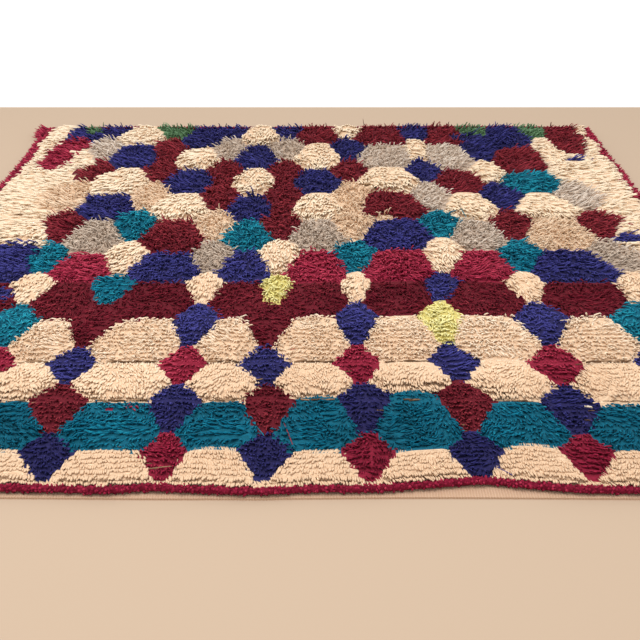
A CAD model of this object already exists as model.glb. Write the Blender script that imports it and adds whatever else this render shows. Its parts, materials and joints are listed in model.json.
"""Azilal rug: the knotted pile, the ground weave, the yarn rows and the tufted edges.

Places are worked out in the rug's own plan: x across it, y from its near lip to its far lip,
z up from the floor. plan_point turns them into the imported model's frame. Metres.
"""

import json
import math
import random
from collections import namedtuple

import bmesh
import bpy
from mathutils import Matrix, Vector, noise

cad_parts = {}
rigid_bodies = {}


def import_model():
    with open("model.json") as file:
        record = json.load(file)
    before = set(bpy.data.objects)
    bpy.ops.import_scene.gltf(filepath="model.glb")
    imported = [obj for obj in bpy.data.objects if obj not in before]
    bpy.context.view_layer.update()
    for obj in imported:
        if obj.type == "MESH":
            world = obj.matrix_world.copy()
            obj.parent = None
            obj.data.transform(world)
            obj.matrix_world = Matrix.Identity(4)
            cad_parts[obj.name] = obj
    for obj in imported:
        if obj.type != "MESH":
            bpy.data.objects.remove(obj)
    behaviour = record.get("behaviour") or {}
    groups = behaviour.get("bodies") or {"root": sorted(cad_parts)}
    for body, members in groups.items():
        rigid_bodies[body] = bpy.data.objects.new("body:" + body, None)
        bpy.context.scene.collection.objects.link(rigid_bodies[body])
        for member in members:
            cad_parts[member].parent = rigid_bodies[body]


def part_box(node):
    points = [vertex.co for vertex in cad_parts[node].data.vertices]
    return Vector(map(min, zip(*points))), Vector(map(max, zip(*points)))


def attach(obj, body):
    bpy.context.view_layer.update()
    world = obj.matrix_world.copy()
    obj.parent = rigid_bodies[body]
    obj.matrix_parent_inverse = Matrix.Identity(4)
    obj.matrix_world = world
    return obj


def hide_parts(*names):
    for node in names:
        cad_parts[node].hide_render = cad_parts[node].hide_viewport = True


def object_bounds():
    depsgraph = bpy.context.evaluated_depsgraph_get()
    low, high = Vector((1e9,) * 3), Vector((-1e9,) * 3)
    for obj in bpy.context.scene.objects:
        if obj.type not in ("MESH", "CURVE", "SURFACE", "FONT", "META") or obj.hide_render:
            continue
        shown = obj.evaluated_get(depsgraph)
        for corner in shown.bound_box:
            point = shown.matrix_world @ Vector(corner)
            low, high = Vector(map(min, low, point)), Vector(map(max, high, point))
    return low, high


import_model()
cad_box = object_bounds()

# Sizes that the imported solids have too. The pile's height is given near and far
CLOTH_THICKNESS = 0.003
CURVE_GAP = 0.0009
PILE_HEIGHT = (0.020, 0.026)
ROW_RADIUS = 0.0066
ROW_LUMP = 0.10
ROW_REST = CLOTH_THICKNESS + 0.0003
BAND_BEYOND_ROW = 0.018
MIN_BAND = 0.0015
NEAR_LIP = 0.017
LIP_WANDER = 0.0015
FAR_STRIP_WIDTH = 0.006
FAR_STRIP_HEIGHT = 0.019
FAR_LOCKS = 62
FAR_LOCK_RISE = 0.016
FAR_LOCK_ROOT = 0.006

# Rows of knots: how many, how much wider apart the last ones lie, and how far they wander
KNOTS_ACROSS = 132
KNOT_ROWS = 106
PITCH_GROWTH = 1.8
FIRST_ROW = 0.0060
END_ROWS_SHARE = 0.15
ROW_MARGIN = 0.004
ROW_WAVE = 0.0022
ROW_SCATTER = 0.0012
CREAM_SCATTER = 0.0036
END_SCATTER = 0.0004
CHART_WANDER = Vector((0.0040, 0.0016))

# How the pile lies, near and far: combed over, then more upright, and outwards at the rim
COMBED_UNTIL = 0.50
UPRIGHT_FROM = 0.90
TILT_CREAM = (64, 64)
TILT_DYED = (68, 58)
TILT_WAVE = 10
SWING_CREAM = (0.80, 0.8)
SWING_DYED = (1.5, 1.0)
SWING_FRONT = 0.45
FRONT_ROWS_UNTIL = 0.245
SWING_WAVE = 1.6
BORDER_SWING = 0.25
BORDER_SWING_REACH = (0.003, 0.022)
OUTWARD_SWING = 0.8
SPLAY = (0.6, 1.4)
SPLAY_ALONG = 0.8
FIELD_LIE = (0.88, -0.36)
FIELD_WAVE = 0.3
FIELD_FROM = 0.3
RIM_LEAN = 0.55
RIM_LEAN_REACH = 0.020
FLATTEST = 0.96

# How far a knot's ends lean aside, across and along the rug: in clumps, and each knot by chance
CLUMP_TOSS = (1.7, 1.4)
KNOT_TOSS = (0.35, 0.30)
COMBED_TOSS = 0.7
COMBED_SPREAD = 0.6

# Ends, near and far: how far in front they show, how deep they are rooted, how long they are
SHOWN_CREAM = (0.011, 0.019)
SHOWN_DYED = (0.011, 0.0105)
ROOT_DEPTH = (0.0020, 0.0035)
LONGEST_END = (0.0185, 0.040)
LONGER_CREAM = 0.0055
LONGER_CREAM_FROM = (0.10, 0.24)
CURL = (0.0035, 0.0060)
LENGTH_SCATTER = (-0.5, 0.6)
CLUMP_LONGER = 0.3
CLUMP_WAVE = 0.9
WILD_SHARE = 0.25
WILD_LENGTH = 1.25
FIELD_LENGTH = (0.028, 0.038)
WIDTH_SCATTER = (0.88, 1.14)

# How far the ends may reach, and how short they are then cut
OVER_NEAR_ROW = 0.0090
OVER_RIM = -0.002
SHORTEST_END = 0.0090
SHORTEST_BY_LINE = 0.0062
ROOT_BEHIND_LINE = 0.0062
LOWEST = 0.0008
ABOVE_SOLIDS = 0.0095
SOFTNESS = 0.004

# Where a motif ends, how much of an end shows there, and the crimson rim beside the edging
BORDER_WIDTH = 0.022
RIM_WIDTH = 0.013
RIM_WAVE = 0.9
SHOWN_PART = 0.62
KEPT_PARTS = (1.0, 0.82, 0.66)
HIDDEN_PART = 0.30
ASTRAY_SHARE = 0.04

# Packed wool under the tips: its share of the pile's height, near and far, less at borders
BODY_SHARE_CREAM = (0.94, 0.85)
BODY_SHARE_DYED = (0.68, 0.52)
BODY_SHARE_FIELD = 0.65
BODY_BORDER_SHARE = 0.87
PACKED_DYED = 0.75
PACKED_CREAM = 0.95

# Lattice, near and far: hexagons in courses, blunt lozenges where their corners meet, grooves
BLUNT_TIP = (0.008, 0.018)
LOZENGE_HALF_WIDTH = (0.043, 0.054)
CHAIN_HALF_WIDTH = (0.020, 0.028)
OUTER_COLUMN = 0.08
GROOVE_DEPTH = (0.0035, 0.0065)
GROOVE_WIDTH = 0.012
NEAR_DROP = 0.0036
NEAR_DROP_REACH = (0.018, 0.005)

# Dye lanes: each yarn end takes one lane of its colour's shades
LANES = 24
CORE_LANES = 5
LANE_MARGIN = 0.06
LENGTH_MARGIN = 0.02
DYE_PLACES = (0.20, 0.68, 1.0)
FIBRE_TONE = 0.55
FIBRE_STRETCH = (7.0, 5.0, 1.0)
PLY_TURNS = 3.0

# Crimson yarn along the sides: where its ends are, how far they reach, more with each tuft
EDGING = (0.025, 1.696)
EDGING_STATIONS = 260
EDGING_LAYERS = 4
EDGING_REACH = (0.009, 0.012)
CORNER_REACH = (0.022, 0.014)
CORNER_TUFTS_FROM = (1.595, 1.615)
TUFT_WAVES = 60
EDGING_SHADES = (0.5, 0.2)

# Crimson yarn rows: the angles of the ends round them, how deep those are rooted, their shades
ROW_END_ANGLES = (-100, -60, -20, 20, 60)
ROW_END_SWING = 25
ROW_END_INSET = 0.002
ROW_END_DEPTH = 0.45
ROW_SHADES = (0.26, 0.15)

# The yarn wound under those ends: its steps along the rows and sides, and its sizes
ROW_STEPS = 120
EDGE_STEPS = 130
EDGE_CORE = (0.027, 1.694)
EDGE_CORE_RADIUS = 0.0036
EDGE_CORE_OUT = 0.0038
EDGE_CORE_HEIGHT = 0.0040
ROW_CORE_SHARE = 0.80
CORE_LUMPS = (0.88, 1.06)
CORE_SIDES = 8

# The woven bands at both ends: their colour and how many steps of the sheet they take
BAND_COLOUR = (0.56, 0.385, 0.275)
BAND_STEPS = 3

# The ground's texture, in waves over a metre: warp ribs, weft picks, blotches and fuzz
WARP_SCALE = 76.0
PICK_SCALE = 120.0
BLOTCH_SCALE = 60.0
FUZZ_SCALE = (110.0, 330.0, 330.0)

SEED = 29

Side = namedtuple("Side", "y left right")
SIDES = (
    Side(0.00, -0.765, 0.767),
    Side(0.35, -0.768, 0.771),
    Side(0.75, -0.775, 0.774),
    Side(1.05, -0.774, 0.770),
    Side(1.20, -0.770, 0.766),
    Side(1.32, -0.764, 0.769),
    Side(1.47, -0.761, 0.763),
    Side(1.60, -0.764, 0.765),
    Side(1.72, -0.768, 0.766),
)

End = namedtuple("End", "x near far")
ENDS = (
    End(-0.76, 0.035, 1.676),
    End(-0.55, 0.033, 1.684),
    End(-0.40, 0.031, 1.686),
    End(-0.30, 0.0275, 1.684),
    End(-0.237, 0.033, 1.683),
    End(-0.17, 0.0285, 1.684),
    End(-0.08, 0.0245, 1.685),
    End(-0.01, 0.030, 1.687),
    End(0.08, 0.031, 1.689),
    End(0.17, 0.041, 1.690),
    End(0.24, 0.048, 1.690),
    End(0.31, 0.038, 1.691),
    End(0.37, 0.0295, 1.691),
    End(0.45, 0.0275, 1.692),
    End(0.58, 0.027, 1.690),
    End(0.76, 0.031, 1.682),
)

Column = namedtuple("Column", "near far")
COLUMNS = (
    Column(-0.715, -0.720),
    Column(-0.550, -0.578),
    Column(-0.408, -0.392),
    Column(-0.228, -0.235),
    Column(-0.077, -0.082),
    Column(0.076, 0.084),
    Column(0.234, 0.268),
    Column(0.400, 0.438),
    Column(0.580, 0.602),
    Column(0.735, 0.735),
)
COURSE_LINES = (-0.07, 0.114, 0.255, 0.368, 0.540, 0.682, 0.837, 1.00, 1.155, 1.325, 1.518, 1.70)

# Where the tips of the lozenges meet in each course, as a share of the course
TIP_SHARES = (0.62, 0.36, 0.44, 0.37, 0.40, 0.25, 0.31, 0.34, 0.50, 0.38, 0.30)

# Knotting chart, course by course from the near end: the yarn of each hexagon from left to
# right, then that of each lozenge on the line where the course ends
Course = namedtuple("Course", "hexagons lozenges")
COURSES = (
    Course("cream " * 11, "navy crimson " * 5),
    Course("teal " * 11, "burgundy navy " * 5),
    Course("cream " * 11, "navy crimson " * 5),
    Course(
        "tan " * 11,
        "burgundy teal burgundy navy burgundy navy lime navy teal burgundy",
    ),
    Course(
        "burgundy " * 11,
        "cream cream teal cream lime cream navy cream cream cream",
    ),
    Course(
        "navy navy crimson navy navy crimson crimson crimson navy grey cream",
        "cream teal cream grey cream teal cream teal grey cream",
    ),
    Course(
        "cream cream grey burgundy teal grey navy grey tan cream cream",
        "cream burgundy teal tan burgundy tan teal burgundy burgundy cream",
    ),
    Course(
        "cream cream navy cream navy cream burgundy cream cream cream cream",
        "cream tan tan burgundy burgundy tan grey navy grey cream",
    ),
    Course(
        "cream cream cream navy cream navy cream burgundy teal cream cream",
        "cream burgundy burgundy burgundy burgundy burgundy navy cream cream cream",
    ),
    Course(
        "cream cream navy cream navy cream grey grey burgundy cream cream",
        "cream grey burgundy grey grey navy cream navy cream cream",
    ),
    Course(
        "cream navy cream navy cream burgundy burgundy burgundy navy burgundy cream",
        "cream navy green navy navy cream navy green green cream",
    ),
)

# Lozenges that are wider or narrower than the rest, or tied a little aside of their column
Odd = namedtuple("Odd", "line column half_width aside")
ODD_LOZENGES = (
    Odd(0, 2, 0.043, 0.034),
    Odd(0, 3, 0.043, 0.010),
    Odd(0, 7, 0.043, -0.016),
    Odd(1, 2, 0.044, 0.004),
    Odd(1, 3, 0.037, 0.0),
    Odd(2, 2, 0.052, -0.012),
    Odd(2, 6, 0.050, 0.0),
    Odd(2, 7, 0.051, 0.0),
    Odd(3, 2, 0.045, -0.014),
    Odd(3, 4, 0.047, -0.012),
    Odd(3, 5, 0.043, -0.009),
    Odd(3, 6, 0.048, -0.008),
    Odd(3, 7, 0.054, 0.0),
    Odd(4, 2, 0.048, -0.006),
    Odd(4, 3, 0.044, 0.008),
    Odd(4, 4, 0.050, -0.010),
    Odd(4, 5, 0.042, -0.006),
    Odd(4, 6, 0.042, -0.018),
    Odd(4, 7, 0.054, 0.005),
    Odd(5, 3, 0.042, 0.010),
    Odd(5, 4, 0.034, 0.0),
    Odd(5, 5, 0.030, -0.004),
    Odd(5, 6, 0.038, 0.0),
    Odd(5, 7, 0.042, -0.006),
    Odd(5, 8, 0.048, 0.048),
    Odd(6, 3, 0.050, 0.012),
    Odd(6, 6, 0.046, 0.018),
    Odd(6, 7, 0.050, 0.010),
    Odd(6, 8, 0.052, 0.030),
    Odd(7, 2, 0.050, -0.012),
    Odd(7, 6, 0.050, 0.022),
    Odd(7, 7, 0.050, 0.016),
    Odd(7, 8, 0.056, 0.042),
    Odd(8, 1, 0.050, -0.030),
    Odd(8, 6, 0.052, 0.015),
    Odd(8, 7, 0.056, 0.014),
    Odd(8, 8, 0.058, 0.024),
    Odd(9, 1, 0.056, 0.014),
    Odd(9, 6, 0.052, 0.010),
    Odd(9, 8, 0.038, 0.022),
    Odd(10, 8, 0.040, 0.016),
    Odd(10, 6, 0.030, 0.0),
    Odd(11, 1, 0.064, 0.010),
    Odd(11, 8, 0.060, 0.008),
    Odd(11, 2, 0.070, -0.006),
)

# Where a course line runs off its course: the middle of the place, its half width and its rise
Lift = namedtuple("Lift", "line x half_width rise")
LINE_LIFTS = (
    Lift(1, -0.150, 0.060, 0.008),
    Lift(1, 0.320, 0.070, 0.016),
    Lift(2, 0.010, 0.080, 0.012),
    Lift(2, 0.150, 0.110, 0.024),
    Lift(2, 0.480, 0.240, -0.012),
    Lift(4, -0.520, 0.560, -0.016),
    Lift(6, -0.500, 0.500, -0.018),
    Lift(8, 0.150, 0.090, 0.024),
    Lift(9, 0.480, 0.150, -0.026),
    Lift(10, -0.320, 0.110, -0.034),
    Lift(10, 0.500, 0.130, -0.030),
)

# Small places knotted in another yarn than the motif around them
Patch = namedtuple("Patch", "x y half_width half_length yarn")
PATCHES = (
    Patch(-0.325, 0.236, 0.008, 0.006, "crimson"),
    Patch(-0.291, 0.230, 0.010, 0.006, "crimson"),
    Patch(-0.605, 0.625, 0.016, 0.028, "navy"),
    Patch(-0.640, 0.835, 0.060, 0.030, "navy"),
    Patch(0.680, 0.895, 0.045, 0.024, "navy"),
    Patch(0.152, 1.012, 0.027, 0.018, "tan"),
    Patch(-0.590, 1.100, 0.045, 0.036, "tan"),
    Patch(0.425, 1.588, 0.060, 0.028, "navy"),
    Patch(-0.655, 1.515, 0.042, 0.055, "crimson"),
    Patch(-0.672, 1.440, 0.040, 0.075, "crimson"),
    Patch(-0.682, 1.370, 0.042, 0.055, "crimson"),
    Patch(-0.600, 1.380, 0.022, 0.050, "cream"),
    Patch(0.686, 1.570, 0.050, 0.150, "burgundy"),
    Patch(0.680, 1.395, 0.030, 0.012, "navy"),
    Patch(-0.627, 1.672, 0.024, 0.060, "green"),
    Patch(0.272, 1.640, 0.040, 0.095, "navy"),
)

# Loose yarns that lie on the pile: from where they come out, to where their tips lie
STRAY_LIFT = 0.0025
STRAY_SINK = 0.003
STRAY_RISE = 0.006
Stray = namedtuple("Stray", "yarn x y tip_x tip_y thick")
STRAYS = (
    Stray("navy", 0.259, 0.070, 0.282, 0.045, 0.55),
    Stray("weft", -0.243, 0.064, -0.205, 0.064, 0.50),
    Stray("cream", 0.424, 0.226, 0.437, 0.221, 0.90),
    Stray("cream", 0.446, 0.509, 0.474, 0.512, 0.45),
    Stray("crimson", -0.047, 0.404, -0.036, 0.393, 0.40),
    Stray("teal", -0.092, 0.169, -0.078, 0.130, 0.60),
    Stray("burgundy", -0.051, 0.180, -0.043, 0.119, 0.60),
    Stray("teal", 0.330, 1.052, 0.349, 1.004, 0.60),
    Stray("cream", 0.395, 1.015, 0.405, 0.975, 0.45),
    Stray("cream", -0.198, 0.958, -0.184, 0.913, 0.55),
    Stray("burgundy", -0.586, 0.999, -0.615, 1.045, 0.60),
)

# One loose thread that stands up from the far end
THREAD_ROOT = (0.134, 1.686, 0.018)
THREAD_LIE = (-0.14, 0.0, 0.99)
THREAD_LENGTH = 0.029

# Tips of the last row of long pile: how many stand together, and how high most and the rest do
LOCKS_TOGETHER = (1, 1, 2, 3)
LOCK_MARGIN = 0.02
LOW_LOCKS = (0.1, 0.6)
LOW_LOCK_SHARE = 0.8
HIGH_LOCKS = (0.6, 1.1)

# Lines that no pile crosses, where the brown weft shows: its thickness and where it is covered
BareLine = namedtuple("BareLine", "y thickness covered_from covered_to row", defaults=(0,))
BARE_LINES = (BareLine(0.255, 0.0036, 0.36, 0.37), BareLine(0.374, 0.0046, 0.26, 0.35))
BEHIND_ROW = 0.0028

# Weft strands on those lines, and the short ones that show here and there where motifs meet
WEFT_WIDTH = 0.0022
WEFT_RISE = 0.0009
LONG_WEFT = (0.016, 0.022)
SHORT_WEFT = (0.006, 0.014)
SHORT_WEFT_WITHIN = 0.005
SHORT_WEFT_SHARE = 0.06

# Fields at the sides whose long pile lies outwards: the middle of each and how far it reaches
Field = namedtuple("Field", "x y half_width half_length outward")
SIDE_FIELDS = (
    Field(-0.72, 1.10, 0.17, 0.26, -1),
    Field(0.74, 1.20, 0.16, 0.30, 1),
)

# Yarns: record slot, darkest, middle and palest dye, width of an end, how wild it stands, lift,
# how dark it is at its root, and how much it goes to its palest dye near, midway and far
Yarn = namedtuple("Yarn", "slot deep middle pale width spread lift root tones")
YARNS = {
    "cream": Yarn(
        "cream_wool", (0.71, 0.505, 0.345), (0.815, 0.615, 0.438), (0.885, 0.735, 0.56),
        1.10, 0.12, 0.0, 0.94, (-0.50, -0.08, 0.52),
    ),
    "tan": Yarn(
        "tan_wool", (0.70, 0.50, 0.34), (0.86, 0.66, 0.48), (0.92, 0.77, 0.61),
        0.85, 0.40, 0.25, 0.84, (0.04, 0.04, -0.16),
    ),
    "grey": Yarn(
        "grey_wool", (0.38, 0.30, 0.24), (0.62, 0.51, 0.42), (0.82, 0.72, 0.63),
        0.80, 0.40, 0.30, 0.76, (-0.18, -0.38, 0.12),
    ),
    "navy": Yarn(
        "navy_wool", (0.011, 0.011, 0.05), (0.026, 0.025, 0.13), (0.06, 0.06, 0.27),
        0.85, 0.32, 0.2, 0.70, (-0.18, 0.36, 0.20),
    ),
    "burgundy": Yarn(
        "burgundy_wool", (0.07, 0.004, 0.010), (0.16, 0.011, 0.024), (0.30, 0.035, 0.05),
        0.8, 0.36, 0.2, 0.70, (0.18, -0.14, 0.34),
    ),
    "crimson": Yarn(
        "crimson_wool", (0.12, 0.006, 0.018), (0.30, 0.016, 0.05), (0.50, 0.05, 0.10),
        0.85, 0.3, 0.15, 0.70, (-0.20, 0.14, 0.20),
    ),
    "teal": Yarn(
        "teal_wool", (0.002, 0.06, 0.10), (0.004, 0.15, 0.25), (0.02, 0.30, 0.41),
        0.82, 0.32, 0.1, 0.70, (-0.22, 0.08, 0.22),
    ),
    "lime": Yarn(
        "lime_wool", (0.52, 0.46, 0.14), (0.78, 0.70, 0.25), (0.88, 0.83, 0.42),
        0.85, 0.28, 0.15, 0.84, (0.0, 0.04, 0.16),
    ),
    "green": Yarn(
        "green_wool", (0.036, 0.088, 0.038), (0.084, 0.19, 0.084), (0.17, 0.31, 0.17),
        0.8, 0.38, 0.3, 0.80, (0.0, 0.2, 0.36),
    ),
    "weft": Yarn(
        "ground_weave", (0.08, 0.04, 0.02), (0.18, 0.10, 0.055), (0.32, 0.20, 0.12),
        1.0, 0.06, 0.0, 0.84, (0.0, 0.0, 0.0),
    ),
}
TONE_PLACES = (0.10, 0.42, 1.25)
TONE = 0.45
TONE_WAVE = 0.26
TONE_SCATTER = 0.10
FRONT_TONE = -0.44
FRONT_TONE_FROM = (0.20, 0.07)

# Zones of the pile, from the near end: where each ends, the width of a yarn end and ends a knot
Zone = namedtuple("Zone", "name until width ends turn_spread")
ZONES = (
    Zone("near", 0.50, 0.0037, 4, 0.9),
    Zone("middle", 1.10, 0.0040, 4, 1.0),
    Zone("far", 9.0, 0.0044, 3, 0.9),
)
CUT_ZONE = Zone("cut", 0.50, 0.0038, 5, 0.2)
SMOOTH_ZONE = Zone("smooth", 9.0, 0.0042, 4, 0.4)

# Sorts of yarn end: sides, heights and radii of the rings, droop, sway and how many shapes
Sort = namedtuple("Sort", "sides heights radii droop sway count")
SORTS = {
    "cut": Sort(3, (0.0, 0.60, 0.92), (0.46, 0.54, 0.44), 0.7, 0.25, 8),
    "near": Sort(3, (0.0, 0.48, 0.82), (0.44, 0.54, 0.44), 1.0, 0.9, 10),
    "middle": Sort(3, (0.0, 0.46, 0.80), (0.44, 0.54, 0.40), 2.8, 1.5, 10),
    "smooth": Sort(3, (0.0, 0.5, 0.85), (0.44, 0.52, 0.42), 1.2, 0.5, 8),
    "far": Sort(3, (0.0, 0.42, 0.78), (0.44, 0.54, 0.38), 1.7, 1.6, 10),
    "stub": Sort(4, (0.0, 0.65), (0.45, 0.50), 0.5, 0.6, 8),
    "edge": Sort(3, (0.0, 0.45, 0.80), (0.45, 0.50, 0.36), 0.1, 0.8, 8),
}

# Camera: its place in plan, how far it looks down, its lens, and its centre in the picture
CAMERA_PLAN = (0.0, -1.1016, 0.896)
CAMERA_PITCH = 28.81
CAMERA_LENS = 56.25
PICTURE_WIDTH = 640
CENTRE_RIGHT = 3
CENTRE_DOWN = 6

# Studio: the floor and the white ground beyond it, the light all round, and the lamp above
FLOOR_FAR_EDGE = 1.93
FLOOR_REACH = 4
FLOOR_COLOUR = (0.461, 0.350, 0.260)
GROUND_REACH = 12
GROUND_COLOUR = (0.95, 0.95, 0.95)
GROUND_DROP = 0.004
SKY_COLOUR = (1.0, 0.99, 0.97, 1.0)
SKY_STRENGTH = 1.02
LAMP_POWER = 88.0
LAMP_SIZE = 2.6
LAMP_COLOUR = (1.0, 0.97, 0.92)
LAMP_PLACE = (-0.7, -0.8, 3.4)
LAMP_AIM = (0, -0.1, 0)

HIGHEST = cad_box[1][2] + ABOVE_SOLIDS
rug_low, rug_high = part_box("rug")
PLAN_SHIFT = Vector((rug_low.x - SIDES[2].left, rug_low.y - NEAR_LIP, 0.0))


def plan_point(x, y, z=0.0):
    """A place in the rug's plan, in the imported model's frame."""
    return Vector((x, y, z)) + PLAN_SHIFT


def smooth_step(low, high, value):
    t = min(max((value - low) / (high - low), 0.0), 1.0)
    return t * t * (3 - 2 * t)


def blend(low, high, share):
    return low + (high - low) * share


def smooth_noise(x, y, waves, layer):
    """Noise from about -1 to 1 with this many waves a metre. Each layer has its own."""
    return noise.noise((x * waves, y * waves, layer))


def shag_at(y):
    """How shaggy the pile is: 0 where it is combed, 1 where it stands up."""
    return smooth_step(COMBED_UNTIL, UPRIGHT_FROM, y)


def table_value(rows, key, column, at):
    """Smooth curve through a table's column, read at one place on its key column."""
    keys = [getattr(row, key) for row in rows]
    values = [getattr(row, column) for row in rows]
    last = len(rows) - 1
    index = max(i for i in range(last) if i == 0 or keys[i] <= at)
    before, after = max(index - 1, 0), min(index + 2, last)
    span = keys[index + 1] - keys[index]
    start_slope = (values[index + 1] - values[before]) / (keys[index + 1] - keys[before])
    end_slope = (values[after] - values[index]) / (keys[after] - keys[index])
    t = min(max((at - keys[index]) / span, 0.0), 1.0)
    return (
        (2 * t**3 - 3 * t**2 + 1) * values[index]
        + (t**3 - 2 * t**2 + t) * span * start_slope
        + (3 * t**2 - 2 * t**3) * values[index + 1]
        + (t**3 - t**2) * span * end_slope
    )


def left_edge(y):
    return table_value(SIDES, "y", "left", y)


def right_edge(y):
    return table_value(SIDES, "y", "right", y)


def near_row(x):
    return table_value(ENDS, "x", "near", x)


def far_row(x):
    return table_value(ENDS, "x", "far", x)


def near_lip(x):
    """Near edge of the cloth, always a little in front of the yarn row."""
    lip = NEAR_LIP + LIP_WANDER * (1 + math.sin(9 * x))
    return min(lip, near_row(x) - ROW_RADIUS - MIN_BAND)


def far_lip(x):
    """Far edge of the cloth, behind the yarn row."""
    return far_row(x) + BAND_BEYOND_ROW + LIP_WANDER * math.sin(7 * x)


def near_foot(x):
    """Where the pile begins, behind the near yarn row."""
    return near_row(x) + ROW_RADIUS * (1 + ROW_LUMP) + CURVE_GAP


def far_foot(x):
    """Middle of the last row of knots, in front of the far yarn row."""
    return far_row(x) - ROW_RADIUS * (1 + ROW_LUMP) - CURVE_GAP - FAR_STRIP_WIDTH / 2


def column_places(y):
    """Where the columns of lozenges are, across the rug."""
    along = y / COURSE_LINES[-1]
    return [column.near + (column.far - column.near) * along for column in COLUMNS]


def chart_row(words):
    """The yarns that a row of the chart names."""
    names = words.split()
    assert set(names) <= set(YARNS)
    return names


HEXAGONS = [chart_row(course.hexagons) for course in COURSES]
LOZENGES = [["cream"] * len(COLUMNS)] + [chart_row(course.lozenges) for course in COURSES]
ODD = {(odd.line, odd.column): odd for odd in ODD_LOZENGES}

Motif = namedtuple("Motif", "yarn to_edge centre_x centre_y plain_border")


def course_lines_at(x):
    """The places of the course lines, with their small rises and falls."""
    lines = list(COURSE_LINES)
    for lift in LINE_LIFTS:
        lines[lift.line] += lift.rise * smooth_step(lift.half_width, 0.0, abs(x - lift.x))
    return lines


def motif_at(x, y):
    """The motif that covers a place: its yarn, its middle and how far its edge is."""
    lines = course_lines_at(x)
    course = max(k for k in range(len(lines) - 1) if k == 0 or lines[k] <= y)
    low, high = lines[course], lines[course + 1]
    share = min(max((y - low) / (high - low), 0.0), 1.0)
    tip = TIP_SHARES[course]
    line = course if share < tip else course + 1
    to_tip = 1 - share / tip if share < tip else (share - tip) / (1 - tip)
    along = COURSE_LINES[line] / COURSE_LINES[-1]
    usual = blend(*LOZENGE_HALF_WIDTH, along)
    centres = column_places(y)
    for j in range(len(centres)):
        before, after = (ODD[at, j].aside if (at, j) in ODD else 0.0 for at in (course, course + 1))
        centres[j] += blend(before, after, share)
    nearest = min(range(len(centres)), key=lambda j: abs(x - centres[j]))
    offset = abs(x - centres[nearest])
    wide = ODD[line, nearest].half_width if (line, nearest) in ODD else usual
    reach = blend(blend(*BLUNT_TIP, along), wide, to_tip)
    if LOZENGES[course][nearest] == LOZENGES[course + 1][nearest]:
        reach = max(reach, blend(*CHAIN_HALF_WIDTH, along))
    slant = (high - low) / 2 / math.hypot((high - low) / 2, wide)
    to_side = abs(offset - reach) * slant
    if offset < reach:
        yarn = LOZENGES[line][nearest]
        return Motif(yarn, to_side, centres[nearest], lines[line], False)
    column = nearest + (1 if x > centres[nearest] else 0)
    to_line = min(share, 1 - share) * (high - low)
    left = centres[column - 1] if column > 0 else centres[0] - OUTER_COLUMN
    right = centres[column] if column < len(centres) else centres[-1] + OUTER_COLUMN
    return Motif(
        HEXAGONS[course][column],
        min(to_side, to_line),
        (left + right) / 2,
        (low + high) / 2,
        to_line < to_side,
    )


def rim_width(y, side):
    """How far in the crimson knots beside the edging reach."""
    return RIM_WIDTH * (1.0 + RIM_WAVE * noise.noise((y * 16, side * 9.0, 2.0)))


def yarn_at(x, y):
    """Yarn of a knot: the chart's, or that of a small patch or of the rim."""
    if x - left_edge(y) < rim_width(y, -1) or right_edge(y) - x < rim_width(y, 1):
        return "crimson"
    for patch in PATCHES:
        across = (x - patch.x) / patch.half_width
        along = (y - patch.y) / patch.half_length
        if across * across + along * along < 1:
            return patch.yarn
    return motif_at(x, y).yarn


def field_share(x, y):
    """How much a place belongs to a side field, and which way that field lies."""
    best, outward = 0.0, 0
    for field in SIDE_FIELDS:
        across = (x - field.x) / field.half_width
        along = (y - field.y) / field.half_length
        share = smooth_step(1.0, 0.55, math.hypot(across, along))
        if share > best:
            best, outward = share, field.outward
    return best, outward


def pile_height(x, y, to_edge):
    """Height of the pile's tips, lower in the grooves between motifs and at the near end."""
    along = min(max(y / COURSE_LINES[-1], 0.0), 1.0)
    dome = 1 - math.exp(-((to_edge / GROOVE_WIDTH) ** 2))
    level = blend(*PILE_HEIGHT, along)
    level -= NEAR_DROP * smooth_step(*NEAR_DROP_REACH, y - near_foot(x))
    return level - (1 - dome) * blend(*GROOVE_DEPTH, along)


# A knot: its place, the yarn that ties it, the way its ends lie and the motif that they show in
Knot = namedtuple("Knot", "x y yarn lie motif field")

# One yarn end: where it is rooted, the way it lies, its length, turn, dye lane and width
YarnEnd = namedtuple("YarnEnd", "root lie length turn lane thick")


def lean_at(x, y, motif):
    """Direction of the pile: combed to the near end, upright or splayed further away."""
    combed = 1 - shag_at(y)
    wave = smooth_noise(x, y, 9, 3.0)
    is_cream = motif.yarn == "cream"
    near_tilt, far_tilt = TILT_CREAM if is_cream else TILT_DYED
    near_swing, far_swing = SWING_CREAM if is_cream else SWING_DYED
    if is_cream and y < FRONT_ROWS_UNTIL:
        near_swing = SWING_FRONT
    tilt = math.radians(blend(far_tilt, near_tilt, combed) + TILT_WAVE * wave)
    swing = blend(far_swing, near_swing, combed) * SWING_WAVE * smooth_noise(x, y, 14, 11.0)
    swing *= blend(BORDER_SWING, 1.0, smooth_step(*BORDER_SWING_REACH, motif.to_edge))
    swing += OUTWARD_SWING * (1 - combed) * x / right_edge(y)
    lie = Vector((math.sin(tilt) * math.sin(swing), -math.sin(tilt) * math.cos(swing), 0.0))
    near_splay, far_splay = SPLAY
    splay = blend(far_splay, near_splay, combed)
    lie += splay * Vector((x - motif.centre_x, SPLAY_ALONG * (y - motif.centre_y), 0.0))
    field, outward = field_share(x, y)
    aside, along = FIELD_LIE
    lie = lie.lerp(Vector((aside * outward, along + FIELD_WAVE * wave, 0.0)), field)
    rim = smooth_step(RIM_LEAN_REACH, 0.0, min(x - left_edge(y), right_edge(y) - x))
    lie.x += RIM_LEAN * rim * (1 if x > 0 else -1)
    return standing(lie), field


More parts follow.
